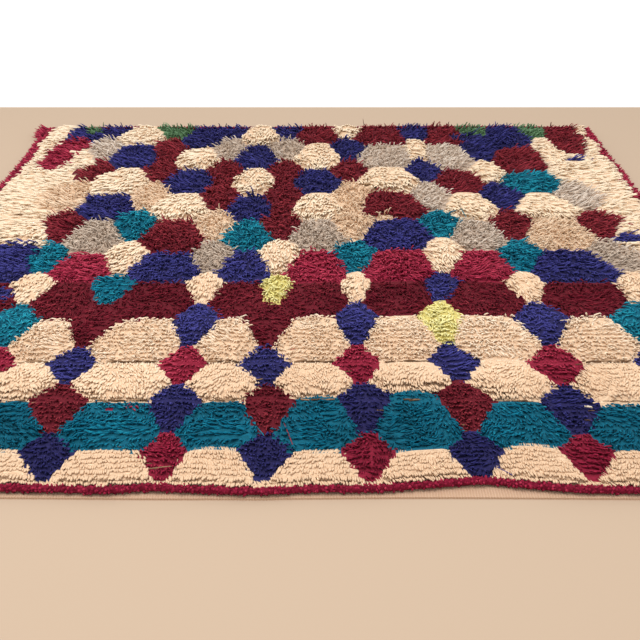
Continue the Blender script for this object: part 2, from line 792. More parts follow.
def standing(lie):
    """The unit direction whose sideways part is the given one."""
    flat = min(math.hypot(lie.x, lie.y), FLATTEST)
    made = Vector((lie.x, lie.y, 0.0))
    if made.length > flat:
        made *= flat / made.length
    made.z = math.sqrt(1 - made.x**2 - made.y**2)
    return made


def curl_at(y):
    """How far a yarn end curls over at its tip, on top of its lean."""
    return blend(*CURL, shag_at(y))


def end_length(rise, lie, curl):
    """Length of an end that lies this way and curls over, for its tip to rise this far."""
    return (rise + curl * math.hypot(lie.x, lie.y)) / max(lie.z, 0.4)


def behind_its_row(bare):
    """A bare line laid just behind the last row of knots in front of it."""
    places = [row_place(row_share(row), 0.0) for row in range(KNOT_ROWS)]
    row = max(row for row, y in enumerate(places) if y < bare.y)
    return bare._replace(y=places[row] + BEHIND_ROW, row=row)


def lines_in_front(x, y):
    """How far the far edge of each bare line in front of a place is from it."""
    for bare in bare_lines:
        behind = y - bare.y - row_wave(bare.row, x)
        if behind > 0 and not bare.covered_from < x < bare.covered_to:
            yield behind - bare.thickness / 2


def free_reach(x, y):
    """How far a yarn end may lie towards the near end before it covers what shows there."""
    reach = y - near_foot(x) + OVER_NEAR_ROW
    return max(min([reach, *lines_in_front(x, y)]), 0.001)


def first_shown(x, y):
    """How near the near end a knot may show: never in front of the bare line before it."""
    return y - min(lines_in_front(x, y), default=y)


def row_share(row):
    """How far along the pile a row lies, from 0 at the near end to 1 at the far end."""
    return (PITCH_GROWTH ** (row / (KNOT_ROWS - 1)) - 1) / (PITCH_GROWTH - 1)


def row_place(share, x):
    """Where a row lies: straight across the rug, but for the rows beside either end."""
    near, far = near_foot(0.0) + FIRST_ROW, far_foot(0.0)
    y = blend(near, far, share)
    y += (near_foot(x) + FIRST_ROW - near) * smooth_step(END_ROWS_SHARE, 0.0, share)
    return y + (far_foot(x) - far) * smooth_step(1 - END_ROWS_SHARE, 1.0, share)


def tossed(x, y, spread, draw):
    """How a knot's ends lean aside from those around them, in clumps of a few knots."""
    clump_across = smooth_noise(x, y, 60, 1.7)
    clump_along = noise.noise((x * 60 + 31.7, y * 60 + 17.3, 5.1))
    amount = spread * blend(COMBED_TOSS, 1.0, shag_at(y))
    across = CLUMP_TOSS[0] * clump_across + draw.gauss(0, KNOT_TOSS[0])
    along = CLUMP_TOSS[1] * clump_along + draw.gauss(0, KNOT_TOSS[1])
    return amount * Vector((across, along, 0.0))


def row_wave(row, x):
    """How far a row wanders off its place."""
    return ROW_WAVE * noise.noise((x * 9, row * 0.35, 5.0)) * min(row / 4, 1.0)


def knot_place(row, knot):
    """Plan place where a knot is tied, in rows that wander a little."""
    y = row_place(row_share(row), 0.0)
    left, right = left_edge(y) + ROW_MARGIN, right_edge(y) - ROW_MARGIN
    x = blend(left, right, (knot + 0.5) / KNOTS_ACROSS)
    return x, row_place(row_share(row), x) + row_wave(row, x)


def tie_knots():
    """Every knot of the rug, row by row, with the yarn that the chart gives it."""
    draw = random.Random(SEED)
    rows = []
    for row in range(KNOT_ROWS):
        knots = []
        for knot in range(KNOTS_ACROSS):
            x, y = knot_place(row, knot)
            motif = motif_at(x, y)
            lie, field = lean_at(x, y, motif)
            shown = SHOWN_CREAM if motif.yarn == "cream" else SHOWN_DYED
            reach = Vector((lie.x, lie.y, 0.0)).normalized()
            reach *= blend(*shown, shag_at(y)) * (1 - field)
            shown_x = x + reach.x
            shown_y = max(y + reach.y, first_shown(x, y))
            motif = motif_at(shown_x, shown_y)
            yarn = yarn_at(
                shown_x + draw.gauss(0, CHART_WANDER.x), shown_y + draw.gauss(0, CHART_WANDER.y)
            )
            lie += tossed(x, y, YARNS[yarn].spread, draw)
            knots.append(Knot(x, y, yarn, standing(lie), motif, field))
        rows.append(knots)
    return rows


def body_height(row, knot):
    """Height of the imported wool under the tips, at the corner before a knot: less at borders."""
    around = [
        knots[min(max(row - 1 + j, 0), KNOT_ROWS - 1)][min(max(knot - 1 + i, 0), KNOTS_ACROSS - 1)]
        for i in (0, 1)
        for j in (0, 1)
    ]
    first = around[0]
    shares = BODY_SHARE_CREAM if first.yarn == "cream" else BODY_SHARE_DYED
    share = blend(*shares, shag_at(first.y))
    share = blend(share, BODY_SHARE_FIELD, first.field)
    if len({item.yarn for item in around}) > 1:
        share *= BODY_BORDER_SHARE
    height = pile_height(first.x, first.y, first.motif.to_edge)
    return CLOTH_THICKNESS + share * (height - CLOTH_THICKNESS)


def bare_line_behind(row, knot):
    """The bare line that shows just behind a knot of this row, if one does."""
    for bare in bare_lines:
        if bare.row == row and not bare.covered_from < knot.x < bare.covered_to:
            return bare if motif_at(knot.x, bare.y).plain_border else None
    return None


def weft_strands():
    """Brown weft showing: along the bare lines, and in short bits where motifs meet."""
    draw = random.Random(SEED + 3)
    strands = []
    for row, row_knots in enumerate(knots):
        for column, knot in enumerate(row_knots):
            bare = bare_line_behind(row, knot)
            if bare:
                y, thick = bare.y + row_wave(row, knot.x), bare.thickness / WEFT_WIDTH
                length = draw.uniform(*LONG_WEFT)
            elif knot.motif.to_edge < SHORT_WEFT_WITHIN and draw.random() < SHORT_WEFT_SHARE:
                y, thick = knot.y, draw.uniform(0.8, 1.3)
                length = draw.uniform(*SHORT_WEFT)
            else:
                continue
            level = body_height(row + 1, column) + WEFT_RISE * thick
            lie = Vector((draw.choice((-1, 1)), draw.uniform(-0.25, 0.15), 0.04)).normalized()
            start = plan_point(knot.x, y, level) - lie * length / 2
            turn = draw.uniform(0, math.tau)
            strands.append(YarnEnd(start, lie, length, turn, draw.randrange(LANES), thick))
    return strands


def zone_of(knot):
    """The zone that a knot's ends belong to: near cream ends are thick and cut short."""
    if knot.yarn == "cream" and knot.field < FIELD_FROM:
        return CUT_ZONE if knot.y < CUT_ZONE.until else SMOOTH_ZONE
    return next(zone for zone in ZONES if knot.y < zone.until)


def knot_ends():
    """Every yarn end of the pile, in lists by yarn and zone."""
    draw = random.Random(SEED + 2)
    ends = {}
    for row, row_knots in enumerate(knots):
        for column, knot in enumerate(row_knots):
            zone = zone_of(knot)
            level = (body_height(row, column) + body_height(row + 1, column + 1)) / 2
            for index in range(zone.ends):
                across = (index + 0.5) / zone.ends - 0.5
                yarn, end = yarn_end(knot, across, level, draw)
                ends.setdefault((yarn, zone_of(knot._replace(yarn=yarn))), []).append(end)
    for key, end in stray_ends() + standing_locks():
        ends.setdefault(key, []).append(end)
    return ends


def stray_ends():
    """Loose yarns, each with the yarn and zone of the pile that it goes with."""
    draw = random.Random(SEED + 5)
    strays = []
    for stray in STRAYS:
        zone = next(zone for zone in ZONES if stray.y < zone.until)
        along = stray.y / COURSE_LINES[-1]
        height = blend(*PILE_HEIGHT, along) + STRAY_LIFT
        run = Vector((stray.tip_x - stray.x, stray.tip_y - stray.y, 0.0))
        lie = (run + Vector((0.0, 0.0, STRAY_RISE))).normalized()
        turn = math.atan2(lie.x, -lie.y)
        root = plan_point(stray.x, stray.y, height - STRAY_SINK)
        lane = draw.randrange(LANES // 2, LANES)
        strays.append(((stray.yarn, zone), YarnEnd(root, lie, run.length, turn, lane, stray.thick)))
    return strays


def standing_locks():
    """Tips of the last row of long pile, which stand up against the floor behind."""
    draw = random.Random(SEED + 7)
    locks = []
    count = 2 * FAR_LOCKS
    far = COURSE_LINES[-1]
    left, right = left_edge(far) + LOCK_MARGIN, right_edge(far) - LOCK_MARGIN
    for index in range(count):
        share = (index + draw.uniform(0.2, 0.8)) / count
        x = blend(left, right, share)
        y = far_foot(x) - 0.002
        yarn = yarn_at(x, y - 0.006)
        if yarn == "cream":
            continue
        for _ in range(draw.choice(LOCKS_TOGETHER)):
            lie = Vector((draw.gauss(0, 0.35), draw.uniform(-0.15, 0.5), 1.0)).normalized()
            heights = LOW_LOCKS if draw.random() < LOW_LOCK_SHARE else HIGH_LOCKS
            length = FAR_LOCK_ROOT + FAR_LOCK_RISE * draw.uniform(*heights)
            root = plan_point(x + draw.gauss(0, 0.002), y, FAR_STRIP_HEIGHT - FAR_LOCK_ROOT)
            lane = draw.randrange(LANES)
            turn = draw.uniform(0, math.tau)
            locks.append(((yarn, ZONES[-1]), YarnEnd(root, lie, length, turn, lane, 0.9)))
    thread = YarnEnd(plan_point(*THREAD_ROOT), Vector(THREAD_LIE), THREAD_LENGTH, 0.0, 2, 0.5)
    locks.append((("burgundy", ZONES[-1]), thread))
    return locks


def within_motif(x, y, lie, length, yarn_name, draw):
    """An end cut back to the motif that it shows in: its yarn, its place and its length."""
    first = first_shown(x, y)

    def yarn_along(part):
        return yarn_at(x + lie.x * length * part, max(y + lie.y * length * part, first))

    if draw.random() > ASTRAY_SHARE:
        yarn_name = yarn_along(SHOWN_PART)
    kept = next((part for part in KEPT_PARTS if yarn_along(part) == yarn_name), KEPT_PARTS[-1])
    hidden = HIDDEN_PART if yarn_along(HIDDEN_PART) != yarn_name else 0.0
    x += lie.x * length * hidden
    y += lie.y * length * hidden
    return yarn_name, x, y, max(length * (kept - hidden), SHORTEST_END)


def cut_length(knot, x, y, lie, rise, draw):
    """Length of an end whose tip rises this far, with its share of chance and of its clump."""
    yarn = YARNS[knot.yarn]
    shaggy = shag_at(y)
    curl = curl_at(y)
    longest = blend(*LONGEST_END, shaggy)
    if knot.yarn == "cream":
        longest += LONGER_CREAM * smooth_step(*LONGER_CREAM_FROM, y)
    length = min(end_length(rise, lie, curl), longest)
    clump = CLUMP_LONGER + CLUMP_WAVE * smooth_noise(x, y, 55, 4.0)
    length *= 1 + yarn.spread * (draw.uniform(*LENGTH_SCATTER) + clump * shaggy)
    if draw.random() < WILD_SHARE * yarn.spread:
        length *= WILD_LENGTH
    length = blend(length, draw.uniform(*FIELD_LENGTH), knot.field)
    reach = free_reach(x, y)
    if -lie.y * length + curl * lie.z > reach:
        length = max((reach - curl * lie.z) / max(-lie.y, 0.1), SHORTEST_BY_LINE)
    return length


def dye_tone(x, y, yarn_name, draw):
    """How far towards its palest dye a yarn is at a place."""
    near_tone, middle_tone, far_tone = YARNS[yarn_name].tones
    from_near, to_middle, to_far = TONE_PLACES
    tone = TONE + TONE_WAVE * smooth_noise(x, y, 5, 7.0) + draw.gauss(0, TONE_SCATTER)
    tone += blend(near_tone, middle_tone, smooth_step(from_near, to_middle, y))
    tone += (far_tone - middle_tone) * smooth_step(to_middle, to_far, y)
    if yarn_name == "cream":
        tone += FRONT_TONE * smooth_step(*FRONT_TONE_FROM, y)
    return tone


def yarn_end(knot, across, level, draw):
    """One cut end of a knot's yarn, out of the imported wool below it, and that yarn's name."""
    pitch = (right_edge(knot.y) - left_edge(knot.y)) / KNOTS_ACROSS
    x = knot.x + pitch * across + draw.gauss(0, END_SCATTER)
    combed_cream = knot.yarn == "cream" and knot.y > FRONT_ROWS_UNTIL
    y = knot.y + draw.gauss(0, CREAM_SCATTER if combed_cream else ROW_SCATTER)
    y = max(y, first_shown(x, knot.y) + ROOT_BEHIND_LINE)
    lie = Vector(knot.lie)
    upright = YARNS[knot.yarn].lift * (1 - knot.field)
    lie.x *= 1 - upright
    lie.y *= 1 - upright
    lie = standing(lie)
    top = pile_height(knot.x, knot.y, knot.motif.to_edge)
    root = level - blend(*ROOT_DEPTH, shag_at(y))
    length = cut_length(knot, x, y, lie, top - root, draw)
    yarn_name = knot.yarn
    if knot.field < FIELD_FROM and knot.motif.to_edge < BORDER_WIDTH:
        yarn_name, x, y, length = within_motif(x, y, lie, length, yarn_name, draw)
    to_rim = min(x - left_edge(y), right_edge(y) - x) + OVER_RIM
    outward = lie.x if x > 0 else -lie.x
    if outward * length > to_rim:
        length = max(to_rim / outward, SHORTEST_END)
    turn = math.atan2(lie.x, -lie.y)
    lane = min(max(int(dye_tone(x, y, yarn_name, draw) * LANES), 0), LANES - 1)
    end = YarnEnd(plan_point(x, y, root), lie, length, turn, lane, draw.uniform(*WIDTH_SCATTER))
    return yarn_name, end


def map_face(shape, uv, corners, places):
    """A smooth face, with the place of each of its corners on the map."""
    face = shape.faces.new(corners)
    face.smooth = True
    for loop, place in zip(face.loops, places):
        loop[uv].uv = place


def ring_faces(shape, uv, lower, upper, span, heights):
    """Faces from one ring of corners to the next, and the part of the map that they take."""
    sides = len(lower)
    low, high = heights
    for side in range(sides):
        after = (side + 1) % sides
        u0, u1 = (blend(*span, corner / sides) for corner in (side, side + 1))
        corners = lower[side], lower[after], upper[after], upper[side]
        map_face(shape, uv, corners, ((u0, low), (u1, low), (u1, high), (u0, high)))


def circle_angles(sides):
    return [math.tau * side / sides for side in range(sides)]


def yarn_shape(name, sides, rings, tip, collection):
    """One closed yarn end of unit height: rings of (height, radius, droop, sway), then a tip."""
    shape = bmesh.new()
    uv = shape.loops.layers.uv.new("yarn_uv")
    circles = []
    for height, radius, droop, sway in rings:
        circles.append([
            shape.verts.new((radius * math.cos(a) + sway, radius * math.sin(a) - droop, height))
            for a in circle_angles(sides)
        ])
    height, droop, sway = tip
    point = shape.verts.new((sway, -droop, height))
    heights = [ring[0] for ring in rings]
    for lower, upper, *low_high in zip(circles, circles[1:], heights, heights[1:]):
        ring_faces(shape, uv, lower, upper, (0, 1), low_high)
    for side in range(sides):
        after = (side + 1) % sides
        u0, u1 = side / sides, (side + 1) / sides
        places = (u0, heights[-1]), (u1, heights[-1]), ((u0 + u1) / 2, 1.0)
        map_face(shape, uv, (circles[-1][side], circles[-1][after], point), places)
    foot = circles[0][::-1]
    map_face(shape, uv, foot, [(0.5 + 0.4 * v.co.x, 0.02 + 0.02 * (v.co.y > 0)) for v in foot])
    mesh = bpy.data.meshes.new(name)
    shape.to_mesh(mesh)
    shape.free()
    collection.objects.link(bpy.data.objects.new(name, mesh))


def yarn_shapes(name, sides, heights, radii, droop, sway, count):
    """A set of yarn ends of one sort, each with its own bends."""
    draw = random.Random(SEED + len(name))
    collection = bpy.data.collections.new(name)
    for index in range(count):
        bend = droop * draw.uniform(0.6, 1.4)
        drift = draw.uniform(-sway, sway)
        rings = []
        for height, radius in zip(heights, radii):
            wobble = draw.uniform(-0.25, 0.25) * sway
            rings.append((height, radius, bend * height**2, drift * height + wobble))
        tip = (1.0 - 0.06 * bend, bend * 1.15, drift * 1.2)
        yarn_shape(f"{name}_{index}", sides, rings, tip, collection)
    return collection


def wire(tree, made, inputs):
    """Set a node's inputs, by name or number, to values, outputs or other nodes' first outputs."""
    for key, given in inputs.items():
        by_name = (socket for socket in made.inputs if socket.enabled and socket.name == key)
        socket = made.inputs[key] if isinstance(key, int) else next(by_name)
        if isinstance(given, bpy.types.Node):
            given = next(output for output in given.outputs if output.enabled)
        if isinstance(given, bpy.types.NodeSocket):
            tree.links.new(given, socket)
        else:
            socket.default_value = given


def node(tree, kind, inputs=None, **settings):
    """A new node with its settings and its inputs."""
    made = tree.nodes.new(kind)
    for key, setting in settings.items():
        setattr(made, key, setting)
    wire(tree, made, inputs or {})
    return made


def maths(tree, operation, *terms):
    return node(tree, "ShaderNodeMath", dict(enumerate(terms)), operation=operation)


def new_group(name, kind, inputs, outputs):
    """An empty node group with its named inputs and outputs, each with its type of socket."""
    group = bpy.data.node_groups.new(name, kind)
    for in_out, sockets in (("OUTPUT", outputs), ("INPUT", inputs)):
        for socket, value_type in sockets.items():
            socket_type = "NodeSocket" + value_type
            group.interface.new_socket(socket, in_out=in_out, socket_type=socket_type)
    return group


KNOTTING_INPUTS = {
    "Geometry": "Geometry",
    "Shapes": "Collection",
    "Shape Count": "Int",
    "Width": "Float",
    "Spread": "Float",
    "Turn Spread": "Float",
    "Lowest": "Float",
    "Highest": "Float",
    "Wool": "Material",
    "Seed": "Int",
}


def build_knotting_tree():
    """Geometry Nodes: a yarn end on every point, lying the way that the point says."""
    tree = new_group(
        "knot_yarn_ends", "GeometryNodeTree", KNOTTING_INPUTS, {"Geometry": "Geometry"}
    )
    given = node(tree, "NodeGroupInput").outputs

    def named(name, data_type="FLOAT"):
        return node(tree, "GeometryNodeInputNamedAttribute", {"Name": name}, data_type=data_type)

    def random_value(low, high, data_type="FLOAT"):
        inputs = {"Min": low, "Max": high, "Seed": given["Seed"]}
        return node(tree, "FunctionNodeRandomValue", inputs, data_type=data_type)

    # Which way each end lies, how it is turned on its own axis and how large it is
    aside = random_value((-1, -1, -1), (1, 1, 1), "FLOAT_VECTOR")
    inputs = {0: aside, "Scale": given["Spread"]}
    scatter = node(tree, "ShaderNodeVectorMath", inputs, operation="SCALE")
    inputs = {0: named("lie", "FLOAT_VECTOR"), 1: scatter}
    lie = node(tree, "ShaderNodeVectorMath", inputs, operation="ADD")
    align = node(tree, "FunctionNodeAlignRotationToVector", {"Vector": lie}, axis="Z")
    angle = maths(tree, "MULTIPLY_ADD", random_value(-1.0, 1.0), given["Turn Spread"], named("turn"))
    inputs = {"Axis": (0, 0, 1), "Angle": angle}
    own_axis = node(tree, "FunctionNodeAxisAngleToRotation", inputs)
    inputs = {"Rotation": align, "Rotate By": own_axis}
    rolled = node(tree, "FunctionNodeRotateRotation", inputs, rotation_space="LOCAL")
    width = maths(tree, "MULTIPLY", given["Width"], named("thick"))
    size = node(tree, "ShaderNodeCombineXYZ", {"X": width, "Y": width, "Z": named("length")})

    # One of the shapes on every point
    inputs = {"Collection": given["Shapes"], "Separate Children": True, "Reset Children": True}
    shapes = node(tree, "GeometryNodeCollectionInfo", inputs, transform_space="ORIGINAL")
    last_shape = maths(tree, "SUBTRACT", given["Shape Count"], 1)
    inputs = {
        "Points": given["Geometry"],
        "Instance": shapes,
        "Pick Instance": True,
        "Instance Index": random_value(0, last_shape, "INT"),
        "Rotation": rolled,
        "Scale": size,
    }
    placed = node(tree, "GeometryNodeInstanceOnPoints", inputs)
    geometry = node(tree, "GeometryNodeRealizeInstances", {"Geometry": placed})

    # Nothing goes through the floor or past the highest that the looks may reach
    spot = node(tree, "ShaderNodeSeparateXYZ", {0: node(tree, "GeometryNodeInputPosition")}).outputs
    above = maths(tree, "SMOOTH_MAX", spot["Z"], given["Lowest"], SOFTNESS)
    below = maths(tree, "SMOOTH_MIN", above, given["Highest"], SOFTNESS)
    kept = node(tree, "ShaderNodeCombineXYZ", {"X": spot["X"], "Y": spot["Y"], "Z": below})
    geometry = node(tree, "GeometryNodeSetPosition", {"Geometry": geometry, "Position": kept})

    # The map: across it the dye lane and the way round the end, and up it the way along
    own_map = node(tree, "ShaderNodeSeparateXYZ", {0: named("yarn_uv", "FLOAT_VECTOR")}).outputs
    inputs = {"Value": own_map["X"], "To Min": LANE_MARGIN, "To Max": 1 - LANE_MARGIN}
    in_lane = node(tree, "ShaderNodeMapRange", inputs)
    across = maths(tree, "DIVIDE", maths(tree, "ADD", in_lane, named("lane")), LANES)
    inputs = {"Value": own_map["Y"], "To Min": LENGTH_MARGIN, "To Max": 1 - LENGTH_MARGIN}
    along = node(tree, "ShaderNodeMapRange", inputs)
    place = node(tree, "ShaderNodeCombineXYZ", {"X": across, "Y": along})
    inputs = {"Geometry": geometry, "Name": "OFBake", "Value": place}
    geometry = node(
        tree, "GeometryNodeStoreNamedAttribute", inputs, data_type="FLOAT2", domain="CORNER"
    )
    for name in ("yarn_uv", "lie", "turn", "length", "lane", "thick"):
        inputs = {"Geometry": geometry, "Name": name}
        geometry = node(tree, "GeometryNodeRemoveAttribute", inputs)
    inputs = {"Geometry": geometry, "Material": given["Wool"]}
    node(tree, "NodeGroupOutput", {0: node(tree, "GeometryNodeSetMaterial", inputs)})
    return tree


def plain_mesh(piece):
    """Turn what a piece's modifiers make into its own mesh, and remove them."""
    bpy.context.view_layer.update()
    graph = bpy.context.evaluated_depsgraph_get()
    made = bpy.data.meshes.new_from_object(piece.evaluated_get(graph))
    made.name = piece.name
    piece.modifiers.clear()
    piece.data = made
    return piece


def new_piece(name, mesh):
    """An object with this mesh, in the scene."""
    piece = bpy.data.objects.new(name, mesh)
    bpy.context.scene.collection.objects.link(piece)
    return piece


def knot_piece(name, ends, shapes, width, spread, turn_spread, wool, seed):
    """A piece of pile: one closed yarn end for each row of the list."""
    mesh = bpy.data.meshes.new(name)
    mesh.from_pydata([end.root for end in ends], [], [])
    lies = mesh.attributes.new("lie", "FLOAT_VECTOR", "POINT")
    lies.data.foreach_set("vector", [value for end in ends for value in end.lie])
    for key in ("length", "turn", "lane", "thick"):
        layer = mesh.attributes.new(key, "FLOAT", "POINT")
        layer.data.foreach_set("value", [float(getattr(end, key)) for end in ends])
    piece = new_piece(name, mesh)
    modifier = piece.modifiers.new("knotting", "NODES")
    modifier.node_group = knotting_tree
    values = {
        "Shapes": shapes,
        "Shape Count": len(shapes.objects),
        "Width": width,
        "Spread": spread,
        "Turn Spread": turn_spread,
        "Lowest": LOWEST,
        "Highest": HIGHEST,
        "Wool": wool,
        "Seed": seed,
    }
    for socket in knotting_tree.interface.items_tree:
        if socket.in_out == "INPUT" and socket.name in values:
            modifier[socket.identifier] = values[socket.name]
    return plain_mesh(piece)


def build_lane_group():
    """Shader group: splits a yarn end's own map into its dye shade, its fibres, its two-ply
    twist and the way along it."""
    outputs = {"Shade": "Float", "Fibre": "Float", "Ply": "Float", "Along": "Float"}
    group = new_group("yarn_map", "ShaderNodeTree", {"Map": "Vector"}, outputs)
    own_map = node(group, "ShaderNodeSeparateXYZ", {0: node(group, "NodeGroupInput")}).outputs
    lanes = maths(group, "MULTIPLY", own_map["X"], LANES)
    shade = maths(group, "DIVIDE", maths(group, "FLOOR", lanes), LANES - 1)
    twist = maths(group, "MULTIPLY_ADD", own_map["Y"], PLY_TURNS, maths(group, "FRACT", lanes))
    wave = maths(group, "SINE", maths(group, "MULTIPLY", twist, 2 * math.tau))
    ply = node(group, "ShaderNodeMapRange", {"Value": wave, "From Min": -1.0})
    place = node(group, "ShaderNodeCombineXYZ", {"X": lanes, "Y": own_map["Y"]})
    inputs = {0: place, 1: FIBRE_STRETCH}
    stretched = node(group, "ShaderNodeVectorMath", inputs, operation="MULTIPLY")
    inputs = {"Vector": stretched, "Scale": 1.0, "Detail": 3.0}
    fibre = node(group, "ShaderNodeTexNoise", inputs)
    outputs = {"Shade": shade, "Fibre": fibre, "Ply": ply, "Along": own_map["Y"]}
    node(group, "NodeGroupOutput", outputs)
    return group


def new_material(name):
    """A new material, its node tree and its surface shader."""
    material = bpy.data.materials.new(name)
    material.use_nodes = True
    return material, material.node_tree, material.node_tree.nodes["Principled BSDF"]


def mix_colour(tree, kind, factor, first, second):
    """Colour mix node. A number, a colour, an output or a node may be given for each input."""
    first, second = ((*c, 1.0) if isinstance(c, tuple) else c for c in (first, second))
    inputs = {0: factor, 6: first, 7: second}
    return node(tree, "ShaderNodeMix", inputs, data_type="RGBA", blend_type=kind)


def bump(tree, height, strength, distance):
    """A bump node: fine relief that only the shading shows."""
    inputs = {"Height": height, "Strength": strength, "Distance": distance}
    return node(tree, "ShaderNodeBump", inputs)


def wool_material(name, yarn):
    """Hand-spun wool: dye shade by lane, dark at the root, paler towards the open tip."""
    material, tree, shader = new_material(name)
    own_map = node(tree, "ShaderNodeUVMap", uv_map="OFBake")
    lanes = node(tree, "ShaderNodeGroup", {0: own_map}, node_tree=lane_group).outputs
    tone = maths(tree, "MULTIPLY_ADD", lanes["Fibre"], FIBRE_TONE, lanes["Shade"])
    ramp = node(tree, "ShaderNodeValToRGB", {0: tone})
    ramp.color_ramp.elements.new(DYE_PLACES[1])
    for element, place, dye in zip(
        ramp.color_ramp.elements, DYE_PLACES, (yarn.deep, yarn.middle, yarn.pale)
    ):
        element.position = place
        element.color = (*dye, 1.0)
    inputs = {"Value": lanes["Along"], "From Min": 0.05, "From Max": 0.60, "To Min": yarn.root}
    root = node(tree, "ShaderNodeMapRange", inputs)
    shadow = node(tree, "ShaderNodeCombineColor", {"Red": root, "Green": root, "Blue": root})
    relief = maths(tree, "MULTIPLY_ADD", lanes["Ply"], 0.5, lanes["Fibre"])
    look = {
        "Base Color": mix_colour(tree, "MULTIPLY", 1.0, ramp, shadow),
        "Normal": bump(tree, relief, 0.5, 0.0008),
        "Roughness": 0.93,
        "Specular IOR Level": 0.05,
        "Sheen Weight": 0.02,
        "Sheen Roughness": 0.5,
    }
    wire(tree, shader, look)
    return material


def ground_material():
    """Plain weave of wool weft over warp, ribbed along the rug, and fuzz on packed wool: its own
    dye on each face."""
    material, tree, shader = new_material("ground_weave")
    dye = node(tree, "ShaderNodeAttribute", attribute_name="dye")
    woven = node(tree, "ShaderNodeAttribute", attribute_name="woven").outputs["Fac"]
    place = node(tree, "ShaderNodeTexCoord").outputs["Object"]
    inputs = {"Vector": place, "Scale": WARP_SCALE, "Distortion": 0.6, "Detail": 1.0}
    ribs = node(tree, "ShaderNodeTexWave", inputs, bands_direction="X").outputs["Fac"]
    inputs = {"Vector": place, "Scale": PICK_SCALE, "Distortion": 1.2}
    picks = node(tree, "ShaderNodeTexWave", inputs, bands_direction="Y").outputs["Fac"]
    blotch = node(tree, "ShaderNodeTexNoise", {"Vector": place, "Scale": BLOTCH_SCALE})
    inputs = {0: place, 1: FUZZ_SCALE}
    strokes = node(tree, "ShaderNodeVectorMath", inputs, operation="MULTIPLY")
    inputs = {"Vector": strokes, "Scale": 1.0, "Detail": 2.0, "Distortion": 0.8}
    fibres = node(tree, "ShaderNodeTexNoise", inputs)
    inputs = {"Value": fibres, "From Min": 0.38, "From Max": 0.62}
    fuzz = node(tree, "ShaderNodeMapRange", inputs)
    weave = maths(tree, "MULTIPLY_ADD", picks, 0.4, ribs)
    between_ribs = mix_colour(tree, "MULTIPLY", 1.0, dye, (0.90, 0.86, 0.82))
    ribbed = mix_colour(tree, "MIX", ribs, between_ribs, dye)
    under_fuzz = mix_colour(tree, "MULTIPLY", 1.0, dye, (0.78, 0.72, 0.68))
    fuzzy = mix_colour(tree, "MIX", fuzz, under_fuzz, dye)
    surface = mix_colour(tree, "MIX", woven, fuzzy, ribbed)
    relief = node(tree, "ShaderNodeMix", {0: woven, 2: fuzz, 3: weave}, data_type="FLOAT")
    look = {
        "Base Color": mix_colour(tree, "MULTIPLY", blotch, surface, (0.92, 0.88, 0.84)),
        "Normal": bump(tree, relief, 0.7, 0.0010),
        "Roughness": 0.95,
        "Specular IOR Level": 0.2,
    }
    wire(tree, shader, look)
    return material


def packed_colour(knot):
    """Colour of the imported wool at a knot: between the darkest and the middle dye there."""
    wool = YARNS[yarn_at(knot.x, knot.y)]
    pale = PACKED_CREAM if wool.slot == "cream_wool" else PACKED_DYED
    return tuple(blend(deep, middle, pale) for deep, middle in zip(wool.deep, wool.middle))


def mesh_piece(name, shape, material):
    """A piece out of a finished bmesh."""
    mesh = bpy.data.meshes.new(name)
    shape.to_mesh(mesh)
    shape.free()
    mesh.materials.append(material)
    return new_piece(name, mesh)


def sheet_place(row, knot):
    """Plan place of a corner of the sheet, before this knot, and the height of its top there."""
    along = min(max(row_share(row - 0.5), 0.0), 1.0)
    middle_y = blend(COURSE_LINES[0], COURSE_LINES[-1], along)
    x = blend(left_edge(middle_y), right_edge(middle_y), knot / KNOTS_ACROSS)
    near, far = near_foot(x), far_foot(x) + FAR_STRIP_WIDTH / 2
    if row < 0:
        return x, blend(near_lip(x), near, (row + BAND_STEPS) / BAND_STEPS), CLOTH_THICKNESS
    if row > KNOT_ROWS:
        return x, blend(far, far_lip(x), (row - KNOT_ROWS) / BAND_STEPS), CLOTH_THICKNESS
    if row in (0, KNOT_ROWS) or knot in (0, KNOTS_ACROSS):
        return x, blend(near, far, along), CLOTH_THICKNESS
    return x, blend(near, far, along), body_height(row, knot)


